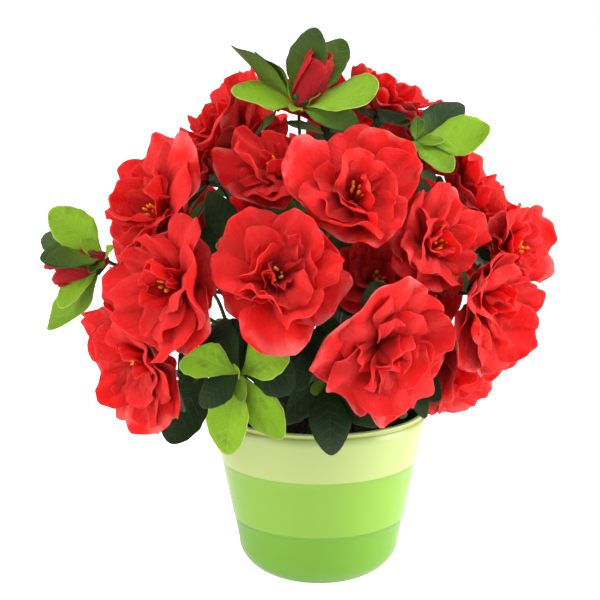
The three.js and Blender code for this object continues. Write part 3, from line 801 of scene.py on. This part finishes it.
petalLook = {
    # throat is a dark red painted as shade at each petal's foot, and also the dark of the veins and threads
    "throat": colour(180, 2, 5), "body": colour(238, 16, 14), "bright": colour(250, 54, 52),
    # rim is a painted highlight along the petal edges
    # the pale pink after rim is a painted backlight, light showing through the outer petals
    "rim": colour(244, 104, 100), "paintedBacklight": colour(234, 100, 98), "bud": colour(150, 10, 22),
    "threads": 100, "mottled": 1.1, "veined": 0.28, "threaded": 0.24, "budShare": 0.75, "paintedBacklightShare": 0.75,
    "rimHighlightShare": 0.35, "rough": (0.68, 0.84), "crumple": 9, "veinRelief": 3, "weaveRelief": 0.35,
    "bump": (0.8, 0.0004),
}


def petalSurface(tree):
    look = petalLook
    across, along, tint, coords, weave, mottle = clothInputs(tree, look["threads"])
    streaks = {"X": times(calc("SUBTRACT", across, 0.5), 30), "Y": times(along, 1.6), "Z": times(tint, 17)}
    veins = noise(output(tree, "ShaderNodeCombineXYZ", streaks), 1, 3, Roughness=0.6)
    tinted = calc("MULTIPLY_ADD", tint, 0.5, -0.45)
    middle = fromMiddle(across, along)
    # painted backlight: pale pink towards the edges of the outer tier's petals, where light through one layer
    # would show
    outermost = times(ramp(tint, 0.2, 0.35, 1, 0), ramp(along, 0.35, 0.8))
    paintedBacklight = times(ramp(middle, 0.5, 1), ramp(mottle, 0.4, 0.58))
    # painted highlight: a pale pink line along the petal edges, broken by the mottle
    rim = times(ramp(middle, 0.965, 1), ramp(mottle, 0.4, 0.6))
    shade = layered(
        look, look["throat"],
        # painted shade: dark red at each petal's foot in the throat, turning to the body colour halfway out
        ("body", ramp(along, 0, 0.5)),
        ("bright", calc("MULTIPLY_ADD", mottle, look["mottled"], tinted)),
        ("throat", times(ramp(veins, 0.52, 0.72), look["veined"])),
        ("throat", ramp(weave, -0.8, 1.2, look["threaded"], 0)),
        ("bud", times(ramp(tint, 0.92, 0.96), look["budShare"])),
        ("paintedBacklight", times(paintedBacklight, outermost, look["paintedBacklightShare"])),
        ("rim", times(rim, look["rimHighlightShare"])),
    )
    relief = calc("MULTIPLY_ADD", veins, look["veinRelief"], times(weave, look["weaveRelief"]))
    crumple = noise(coords, 6.5, 3, Distortion=1)
    relief = calc("MULTIPLY_ADD", crumple, look["crumple"], relief)
    return {
        "Base Color": shade, "Roughness": roughness(mottle, look),
        "Normal": bump(relief, *look["bump"]), "Specular IOR Level": 0.14, "Sheen Weight": 0.03,
        "Sheen Roughness": 0.45, "Subsurface Weight": 0.5, "Subsurface Radius": (1, 0.12, 0.1),
        "Subsurface Scale": 0.003,
    }


leafLook = {
    "bright": colour(128, 172, 26), "olive": colour(74, 104, 20), "dark": colour(12, 42, 13),
    # vein is the pale colour of printed veins and edges, and of a painted sheen streaked on the darker leaves
    "base": colour(138, 184, 54), "tip": colour(36, 56, 20), "vein": colour(196, 216, 100), "threads": 110,
    "patched": 0.35, "midribShare": 0.6, "veined": (0.13, 0.04), "edged": 0.5, "rough": (0.36, 0.52),
    "veinRelief": -3, "weaveRelief": 0.5, "bump": (0.6, 0.0003),
}


def leafSurface(tree):
    look = leafLook
    across, along, tint, _, weave, mottle = clothInputs(tree, look["threads"])
    side = calc("ABSOLUTE", calc("MULTIPLY_ADD", across, 2, -1))
    midrib = ramp(side, 0, 0.09, 1, 0)
    slant = calc("SUBTRACT", times(along, leaf["ribs"]), times(side, leaf["slant"]))
    slant = calc("MULTIPLY_ADD", mottle, 0.9, slant)
    ribs = calc("ABSOLUTE", calc("SUBTRACT", calc("FRACT", slant), 0.5))
    veins = times(ramp(ribs, 0, 0.16, 1, 0), ramp(side, 0.5, 0.9, 1, 0))
    towardsTip = times(ramp(along, 0.4, 0.95), ramp(tint, 0.2, 0.6, 0.1, 0.6))
    # pale streaks on the midrib and side veins: printed veins on bright leaves, a fainter painted sheen on
    # darker ones
    veinsAndSheen = times(calc("MAXIMUM", times(midrib, look["midribShare"]), veins), ramp(mottle, 0.36, 0.6))
    edge = times(ramp(fromMiddle(across, along), 0.94, 1), look["edged"])
    shade = layered(
        look, look["bright"],
        ("olive", ramp(tint, 0.15, 0.5)),
        ("dark", ramp(tint, 0.55, 0.82)),
        ("base", times(ramp(along, 0, 0.55, 0.5, 0), ramp(tint, 0.6, 0.9, 1, 0.1))),
        ("tip", calc("MAXIMUM", towardsTip, times(ramp(mottle, 0.5, 0.75), look["patched"]))),
        ("vein", times(veinsAndSheen, ramp(tint, 0.2, 0.7, *look["veined"]))),
        ("vein", times(edge, ramp(tint, 0.3, 0.5, 1, 0))),
        ("tip", times(edge, ramp(tint, 0.3, 0.5))),
    )
    relief = calc("MAXIMUM", midrib, times(veins, look["midribShare"]))
    relief = calc("MULTIPLY_ADD", relief, look["veinRelief"], times(weave, look["weaveRelief"]))
    return {
        "Base Color": shade, "Roughness": roughness(mottle, look),
        "Normal": bump(relief, *look["bump"]), "Specular IOR Level": 0.22,
    }


stemLook = {
    "dark": colour(10, 34, 16), "light": colour(34, 78, 34), "patches": 60, "patchEdges": (0.35, 0.7),
    "rough": (0.38, 0.55), "grain": 900, "bump": (0.3, 0.0002),
}


def stemSurface(tree):
    look, place = stemLook, objectPlace(tree)
    patches = noise(place, look["patches"], 4)
    return {
        "Base Color": blend(ramp(patches, *look["patchEdges"]), look["dark"], look["light"]),
        "Roughness": roughness(patches, look), "Normal": bump(noise(place, look["grain"]), *look["bump"]),
        "Specular IOR Level": 0.3,
    }


stamenLook = {
    "thread": colour(226, 60, 40), "pollen": (colour(216, 118, 14), colour(244, 180, 34)), "grain": 700,
}


def stamenSurface(tree):
    pollen = blend(noise(objectPlace(tree), stamenLook["grain"]), *stamenLook["pollen"])
    shade = blend(attribute(tree, "anther"), stamenLook["thread"], pollen)
    return {"Base Color": shade, "Roughness": 0.6, "Specular IOR Level": 0.3}


pot = {
    "rimRadius": 65, "height": 104, "draft": 0.1955, "footOut": 28, "footUp": 22, "wall": 2.2, "floor": 3,
    "bandStep": 0.4, "lipHeight": 3.4, "segments": 144,
}
potLook = {
    "bandTops": (72.6, 37), "cream": colour(160, 175, 104), "middle": colour(119, 161, 42),
    # inside is a near black painted shade for the inside of the pot
    # the olive last on the next line is a painted shade under the lip
    "lower": colour(96, 146, 18), "inside": colour(16, 15, 11), "lipShade": colour(150, 160, 60),
    "cloud": colour(120, 170, 70), "lipShadeShare": 0.7, "clouded": 0.04, "clouds": 30, "rough": (0.3, 0.34),
    "grain": 400, "bump": (0.06, 0.0002),
}


def potSurface(tree):
    look, place = potLook, objectPlace(tree)
    height = parts(place)["Z"]
    cloud = noise(place, look["clouds"], 3)

    def above(level, low=-0.0001, high=0.0003, *way):
        return ramp(height, level * millimetre + low, level * millimetre + high, *way)

    upper, lower = look["bandTops"]
    lip = pot["height"] - pot["lipHeight"]
    shade = layered(
        look, look["lower"],
        ("middle", above(lower)),
        ("cream", above(upper)),
        # painted shade: a darker olive strip at the foot of the lip
        ("lipShade", times(above(lip, -0.0003, 0.0001), above(lip, 0.0013, 0.0018, 1, 0), look["lipShadeShare"])),
        # painted shade: the inside of the pot below the mouth is near black
        ("inside", attribute(tree, "paintedInsideShade")),
        ("cloud", times(cloud, look["clouded"])),
    )
    return {
        "Base Color": shade, "Roughness": roughness(cloud, look),
        "Normal": bump(noise(place, look["grain"]), *look["bump"]), "Specular IOR Level": 0.42,
        "Coat Weight": 0.1, "Coat Roughness": 0.25,
    }


fillLook = {"dark": colour(12, 11, 9), "light": colour(48, 40, 30), "lumps": 220, "bump": (0.6, 0.0006)}


def fillSurface(tree):
    look = fillLook
    lumps = noise(objectPlace(tree), look["lumps"], 4)
    return {
        "Base Color": blend(lumps, look["dark"], look["light"]), "Roughness": 0.95,
        "Normal": bump(lumps, *look["bump"]), "Specular IOR Level": 0.2,
    }


finishes = {
    "petal": newMaterial("petal silk", petalSurface), "leaf": newMaterial("leaf cloth", leafSurface),
    "stem": newMaterial("stem plastic", stemSurface), "stamen": newMaterial("stamen", stamenSurface),
    "pot": newMaterial("pot plastic", potSurface), "fill": newMaterial("dark filling", fillSurface),
}
print("materials:", len(finishes))


def modifierTree(name, inputs):
    geometry = ("Geometry", "Geometry")
    inputs = [geometry, *inputs, ("Finish", "Material")]
    tree, given, result = newGroup(name, "GeometryNodeTree", inputs, [geometry])
    tree.is_modifier = True
    return tree, given, result


def endTree(given, result, geometry, smoothed=True):
    tree = geometry.id_data
    geometry = output(tree, "GeometryNodeRealizeInstances", {"Geometry": geometry})
    if smoothed:
        geometry = output(tree, "GeometryNodeSetShadeSmooth", {"Geometry": geometry})
    inputs = {"Geometry": geometry, "Material": given["Finish"]}
    feed(result["Geometry"], output(tree, "GeometryNodeSetMaterial", inputs))
    return tree


def joined(*geometries):
    both = geometries[0].id_data.nodes.new("GeometryNodeJoinGeometry")
    for geometry in geometries:
        feed(both.inputs[0], geometry)
    return both.outputs[0]


def named(tree, name, kind):
    return output(tree, "GeometryNodeInputNamedAttribute", {"Name": name}, data_type=kind)


def ribbedStemTree():
    tree, given, result = modifierTree("ribbed stem", [("Ribs", "Int", 7), ("Rib Depth", "Float", 0.16)])
    line = output(tree, "GeometryNodeMeshToCurve", {"Mesh": given["Geometry"]})
    star = output(tree, "GeometryNodeCurveStar", {
        "Points": given["Ribs"], "Inner Radius": calc("SUBTRACT", 1.0, given["Rib Depth"]), "Outer Radius": 1.0,
    })
    skin = output(tree, "GeometryNodeCurveToMesh", {
        "Curve": line, "Profile Curve": star, "Scale": named(tree, "limbRadius", "FLOAT"), "Fill Caps": True,
    })
    return endTree(given, result, skin)


def stamenTree():
    tree, given, result = modifierTree("stamens", [
        ("Length", "Float", 0.012), ("Thickness", "Float", 0.0003), ("Anther", "Float", 0.001),
        ("Seed", "Int", 3),
    ])

    def marked(geometry, value):
        inputs = {"Geometry": geometry, "Name": "anther", "Value": value}
        return output(tree, "GeometryNodeStoreNamedAttribute", inputs, data_type="FLOAT", domain="POINT")

    thread = output(tree, "GeometryNodeMeshCone", {
        "Radius Top": times(given["Thickness"], 0.6), "Radius Bottom": given["Thickness"],
        "Depth": given["Length"], "Vertices": 5, "Side Segments": 2,
    })
    tip = output(tree, "GeometryNodeMeshUVSphere", {"Radius": given["Anther"], "Segments": 6, "Rings": 5})
    tip = output(tree, "GeometryNodeTransform", {
        "Geometry": tip, "Scale": (0.8, 0.8, 1.7),
        "Translation": output(tree, "ShaderNodeCombineXYZ", {"Z": given["Length"]}),
    })
    both = joined(marked(thread, 0.0), marked(tip, 1.0))
    way = named(tree, "way", "FLOAT_VECTOR")
    size = {2: 0.75, 3: 1.15, "Seed": given["Seed"]}
    return endTree(given, result, output(tree, "GeometryNodeInstanceOnPoints", {
        "Points": given["Geometry"], "Instance": both,
        "Rotation": output(tree, "FunctionNodeAlignRotationToVector", {"Vector": way}, axis="Z"),
        "Scale": addNode(tree, "FunctionNodeRandomValue", size, data_type="FLOAT").outputs[1],
    }))


def crumbTree():
    tree, given, result = modifierTree("crumbs", [
        ("Spacing", "Float", 0.003), ("Size", "Float", 0.0016), ("Seed", "Int", 5),
    ])
    height = parts(output(tree, "GeometryNodeInputNormal"))["Z"]
    upward = output(
        tree, "FunctionNodeCompare", {"A": height, "B": 0.6}, data_type="FLOAT", operation="GREATER_THAN",
    )
    spots = output(tree, "GeometryNodeDistributePointsOnFaces", {
        "Mesh": given["Geometry"], "Selection": upward, "Distance Min": given["Spacing"],
        "Density Max": 90000.0, "Seed": given["Seed"],
    }, distribute_method="POISSON")

    def anyOf(low, high):
        inputs = {0: low, 1: high, "Seed": given["Seed"]}
        return output(tree, "FunctionNodeRandomValue", inputs, data_type="FLOAT_VECTOR")

    dealtOut = output(tree, "GeometryNodeInstanceOnPoints", {
        "Points": spots, "Rotation": anyOf((0, 0, 0), (6.28, 6.28, 6.28)),
        "Instance": output(tree, "GeometryNodeMeshIcoSphere", {"Radius": given["Size"], "Subdivisions": 1}),
        "Scale": anyOf((0.5, 0.5, 0.3), (1.3, 1.3, 0.9)),
    })
    real = output(tree, "GeometryNodeRealizeInstances", {"Geometry": dealtOut})
    return endTree(given, result, joined(real, given["Geometry"]), False)


def addThing(name, data, place=(0, 0, 0)):
    thing = bpy.data.objects.new(name, data)
    bpy.context.scene.collection.objects.link(thing)
    thing.location = place
    return thing


def grown(name, mesh, tree, values, finish):
    source = addThing(name + " source", mesh)
    modifier = source.modifiers.new("grow", "NODES")
    modifier.node_group = tree
    values = {**values, "Finish": finishes[finish]}
    for item in tree.interface.items_tree:
        if item.in_out == "INPUT" and item.name in values:
            modifier[item.identifier] = values[item.name]
    evaluated = source.evaluated_get(bpy.context.evaluated_depsgraph_get())
    made = bpy.data.meshes.new_from_object(evaluated)
    made.name = name
    source.modifiers.remove(modifier)
    bpy.data.objects.remove(source)
    return made


def pieceOf(name, mesh, nodes, finish=None):
    piece = addThing(name, mesh)
    if finish:
        mesh.materials.clear()
        mesh.materials.append(finishes[finish])
    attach(piece, "root")
    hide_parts(*nodes)
    print(name, "faces:", len(mesh.polygons))


def potRadius(z):
    return pot["rimRadius"] - pot["draft"] * (pot["height"] - z)


def footCurve(inset, steps):
    middle = potRadius(pot["footUp"]) - pot["footOut"]
    turns = [i / steps * math.pi / 2 for i in range(steps + 1)]
    return [
        (middle + (pot["footOut"] - inset) * math.sin(a), pot["footUp"] - (pot["footUp"] - inset) * math.cos(a))
        for a in turns
    ]


def latheMesh(name, profile, segments, paintedInsideShade=None):
    form = bmesh.new()
    # a point attribute with the amount of painted shade, set inside the pot
    layer = form.verts.layers.float.new("paintedInsideShade")
    rings = []
    for k, (r, z) in enumerate(profile):
        turns = [circle * j / segments for j in range(segments)] if r > 1e-6 else [0]
        ring = [form.verts.new(vec(r * math.cos(a), r * math.sin(a), z) * millimetre) for a in turns]
        for vertex in ring:
            vertex[layer] = paintedInsideShade[k] if paintedInsideShade else 0
        rings.append(ring)
    for low, high in zip(rings, rings[1:]):
        for j in range(segments):
            k = (j + 1) % segments
            corners = [low[j % len(low)], low[k % len(low)], high[k % len(high)], high[j % len(high)]]
            form.faces.new(list(dict.fromkeys(corners)))
    for face in form.faces:
        face.smooth = True
    bmesh.ops.recalc_face_normals(form, faces=form.faces)
    mesh = bpy.data.meshes.new(name)
    form.to_mesh(mesh)
    form.free()
    return mesh


# Corners of the pot's section: the lip is out and up from the shoulder, or in from the rim and up, and the
# mouth is in from the wall's inside and down from the top.
potSection = {
    "under": ((3, 1), (2, 0.3)), "bandEdge": ((0.6, 0.12), (1, 0.4)), "edgeEnd": 0.8,
    "shoulder": ((0.35, 0.1), (0.3, 1.3)), "lip": ((0.25, 1.6), (0, 2.1), (0, 2.6), (0.3, 3.1), (0.9, 3.4)),
    "mouth": ((-0.4, 0.05), (0, 0.5), (0.3, 1.4), (0.6, 3), (1.4, 6), (4, 20)), "unshaded": 3,
}


def potMesh():
    upper, lower = potLook["bandTops"]
    step, rim, top = pot["bandStep"], pot["rimRadius"], pot["height"]
    shoulder = top - pot["lipHeight"]
    inner = rim - pot["wall"]

    def wallRun(start, end, out, count):
        return [(potRadius(z) + out, z) for z in np.linspace(start, end, count)]

    under = footCurve(0, 16)
    outside = [(0, 1), *((under[0][0] - r, z) for r, z in potSection["under"]), *under]
    outside += wallRun(pot["footUp"], lower, 0, 4)[1:]
    for bands, (start, end, count) in enumerate(((lower, upper, 8), (upper, shoulder, 6))):
        outside += [(potRadius(start) + step * (bands + r), start + z) for r, z in potSection["bandEdge"]]
        outside += wallRun(start + potSection["edgeEnd"], end, step * (bands + 1), count)
    outside += [(potRadius(shoulder) + r, shoulder + z) for r, z in potSection["shoulder"]]
    outside += [(rim - r, shoulder + z) for r, z in potSection["lip"]]
    inside = [(inner - r, top - z) for r, z in potSection["mouth"]]
    inside += [*reversed(footCurve(pot["floor"], 8)), (0, pot["floor"])]
    # the inside of the pot below the first corners of the mouth gets the painted shade
    bare = len(outside) + potSection["unshaded"]
    profile = outside + inside
    paintedInsideShade = [0.0] * bare + [1.0] * (len(profile) - bare)
    return latheMesh("pot", profile, pot["segments"], paintedInsideShade)


pieceOf("pot_shell", potMesh(), ["pot"], "pot")

filling = {
    "top": 84, "edgeDrop": 2.5, "wallGap": 2, "segments": 60,
    "crumbs": {"Spacing": 0.0034, "Size": 0.0017, "Seed": 5},
}


def fillingMesh():
    inset, top = pot["floor"] + gap, filling["top"]
    foot = [(r - gap, z) for r, z in footCurve(inset, 5)]
    wallTop = potRadius(top) - pot["floor"] - filling["wallGap"]
    slope = [
        (mix(wallTop, 0, t), top - filling["edgeDrop"] * (1 - smooth(0, 0.6, t))) for t in np.linspace(0, 1, 12)
    ]
    return latheMesh("filling", [(0, inset), *foot, *slope], filling["segments"])


fillMade = grown("filling", fillingMesh(), crumbTree(), filling["crumbs"], "fill")
pieceOf("pot_filling", fillMade, ["pot_fill"])

ribs = {"trunk": {"Ribs": 14, "Rib Depth": 0.12}, "stems": {"Ribs": 6, "Rib Depth": 0.2}}
stemTree = ribbedStemTree()


def ribbedStems(name, kinds):
    chosen = [(points, radii) for kind, points, radii in limbs if kind in kinds]
    points, radii = (np.concatenate(part) for part in zip(*chosen))
    ends = np.cumsum([len(line) for line, _ in chosen])
    edges = [(i, i + 1) for i in range(len(points) - 1) if i + 1 not in ends]
    mesh = plainMesh(name + " lines", points, edges)
    mark(mesh, "limbRadius", "FLOAT", "value", radii * millimetre)
    return grown(name, mesh, stemTree, ribs[name], "stem")


sprayNodes = ["spray_" + name for name in sprays]
boughNodes = ["bough_" + name for name in sprays]
bloomNodes = ["spray_" + name for name in sprays if sitesOf(name)[0]["kind"] == "bloom"]
pieceOf("trunk_moulding", ribbedStems("trunk", ["trunk"]), ["trunk"])
pieceOf("stems", ribbedStems("stems", ["bough", "stalk"]), boughNodes + sprayNodes)

bloomPieces = {
    "blooms_left": ["left", "upper_left", "top_left", "far_left", "back_left"],
    "blooms_front": ["front", "front_right", "upper_front", "top_right", "top_back", "top_bud", "left_bud"],
    "blooms_right": ["right", "low_right", "upper_right", "back_right", "back"],
}
for name, members in bloomPieces.items():
    sheets = []
    for site in sitesOf(*members):
        if site["kind"] == "bloom":
            addBloom(sheets, site)
        elif site["bud"]:
            addBud(sheets, site)
    pieceOf(name, sheetsMesh(name, sheets), ["spray_" + member for member in members], "petal")

leafSheets, cups = [], []
for site in sites:
    if site["kind"] == "bloom":
        addCollar(leafSheets, site)
        addCalyx(cups, bloomBase(site), site["facing"], calyx, site["size"], site["walls"])
    else:
        addRosette(leafSheets, site)
        if site["bud"]:
            way = heading(*site["bud"][0])
            addCalyx(cups, site["place"] + way * bud["calyx"]["up"], way, bud["calyx"], 1, site["walls"])
pieceOf("leaves", sheetsMesh("leaves", leafSheets), sprayNodes, "leaf")

points, faces = zip(*cups)
starts = np.cumsum([0] + [len(p) for p in points])
faces = [[start + n for n in face] for start, own in zip(starts, faces) for face in own]
cupMesh = plainMesh("calyxes", np.concatenate(points), faces=faces)
cupMesh.polygons.foreach_set("use_smooth", np.ones(len(cupMesh.polygons), bool))
pieceOf("calyxes", cupMesh, bloomNodes, "stem")

stamen = {
    "count": 8, "up": 5, "out": 0.9, "lean": 0.04, "leanSpread": 0.3,
    "parts": {"Length": 0.011, "Thickness": 0.00025, "Anther": 0.0011, "Seed": 3},
}


def stamenPoints():
    points, ways = [], []
    for site in (site for site in sites if site["kind"] == "bloom"):
        for i in range(stamen["count"]):
            turn = circle * (i + luck(site, 800 + i)) / stamen["count"]
            lean = stamen["lean"] + stamen["leanSpread"] * luck(site, 820 + i)
            side = outFrom(site["facing"], turn)
            foot = bloomBase(site, stamen["up"]) + side * stamen["out"]
            points.append(pressed(foot[None], site["walls"])[0])
            ways.append(unit(site["facing"] + side * lean))
    mesh = plainMesh("stamen feet", points)
    mark(mesh, "way", "FLOAT_VECTOR", "vector", ways)
    return mesh


stamensMade = grown("stamens", stamenPoints(), stamenTree(), stamen["parts"], "stamen")
pieceOf("stamens", stamensMade, bloomNodes)

# Each light is a place, a size and a power.
studio = {
    "camera": (0, -1.0, 0.38), "down": 0.208, "left": 0.0115, "lens": 102.3, "sensor": 36,
    "world": 0.86, "bounce": 0.25, "floorGlow": 0.9, "floor": 6000, "floorDown": 0.0002, "aim": (0, 0, 0.16),
    "lights": {
        "left box": ((-0.95, -0.35, 0.35), (0.6, 1.1), 8.6),
        "right box": ((1.0, -0.15, 0.45), (0.6, 1.1), 19.5),
        "top box": ((-0.2, -0.5, 1.3), (1.0, 0.8), 6.0), "front fill": ((0.1, -1.6, 0.7), (1.2, 0.8), 0.3),
    },
}


def isCameraRay(tree):
    return addNode(tree, "ShaderNodeLightPath").outputs["Is Camera Ray"]


def floorSurface(tree):
    glow = ramp(isCameraRay(tree), 0.0, 1.0, studio["bounce"], studio["floorGlow"])
    return {
        "Base Color": (0.9, 0.9, 0.9, 1), "Roughness": 0.8, "Emission Color": (1, 1, 1, 1),
        "Emission Strength": glow,
    }


def addFloor():
    wide = studio["floor"]
    corners = [(-wide, -wide, 0), (wide, -wide, 0), (wide, wide, 0), (-wide, wide, 0)]
    mesh = plainMesh("floor", corners, faces=[range(4)])
    mesh.materials.append(newMaterial("floor white", floorSurface))
    addThing("floor", mesh, (0, 0, -studio["floorDown"]))


def addWorld():
    world = bpy.data.worlds.new("studio")
    bpy.context.scene.world = world
    world.use_nodes = True
    tree = world.node_tree
    tree.nodes.clear()
    dim, bright = (
        output(tree, "ShaderNodeBackground", {"Color": (1, 1, 1, 1), "Strength": strength})
        for strength in (studio["world"], 1.0)
    )
    both = output(tree, "ShaderNodeMixShader", {0: isCameraRay(tree), 1: dim, 2: bright})
    addNode(tree, "ShaderNodeOutputWorld", {"Surface": both})


def addLights():
    for name, (place, size, power) in studio["lights"].items():
        light = bpy.data.lights.new(name, "AREA")
        light.shape = "RECTANGLE"
        light.size, light.size_y = size
        light.energy = power
        aim = Vector(studio["aim"]) - Vector(place)
        addThing(name, light, place).rotation_euler = aim.to_track_quat("-Z", "Y").to_euler()


def addCamera():
    lens = bpy.data.cameras.new("camera")
    lens.lens, lens.sensor_width = studio["lens"], studio["sensor"]
    camera = addThing("camera", lens, studio["camera"])
    camera.rotation_euler = (math.pi / 2 - studio["down"], 0, studio["left"])
    bpy.context.scene.camera = camera
    bpy.context.scene.view_settings.view_transform = "Standard"


addFloor()
addWorld()
addLights()
addCamera()
print("stage set")
